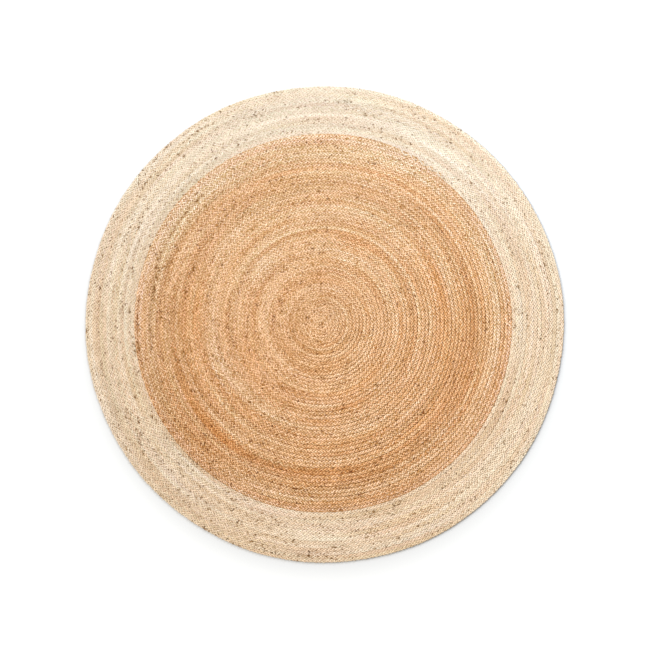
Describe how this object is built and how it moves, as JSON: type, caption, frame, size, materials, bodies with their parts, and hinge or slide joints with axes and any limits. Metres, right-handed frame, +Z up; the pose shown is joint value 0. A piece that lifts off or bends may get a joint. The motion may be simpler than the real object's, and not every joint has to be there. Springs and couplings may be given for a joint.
{
  "type": "round jute rug",
  "caption": "Flat round floor rug: a thin jute braid wound in a spiral and sewn edge to edge, with a natural centre and a wide bleached border.",
  "frame": {"origin": "centre of the rug's flat underside, on the floor", "axes": "+Z up, through the rug's thickness; +X to the right and +Y to the top of the rug as seen from above"},
  "size_m": [1.5002, 1.4948, 0.009],
  "materials": {
    "natural_jute": "matte three-strand braid of undyed jute yarn",
    "bleached_jute": "matte three-strand braid of bleached jute yarn, with grey-brown flecks"
  },
  "bodies": {
    "root": {"natural_coil": "natural_jute", "bleached_coil": "bleached_jute"}
  },
  "joints": []
}
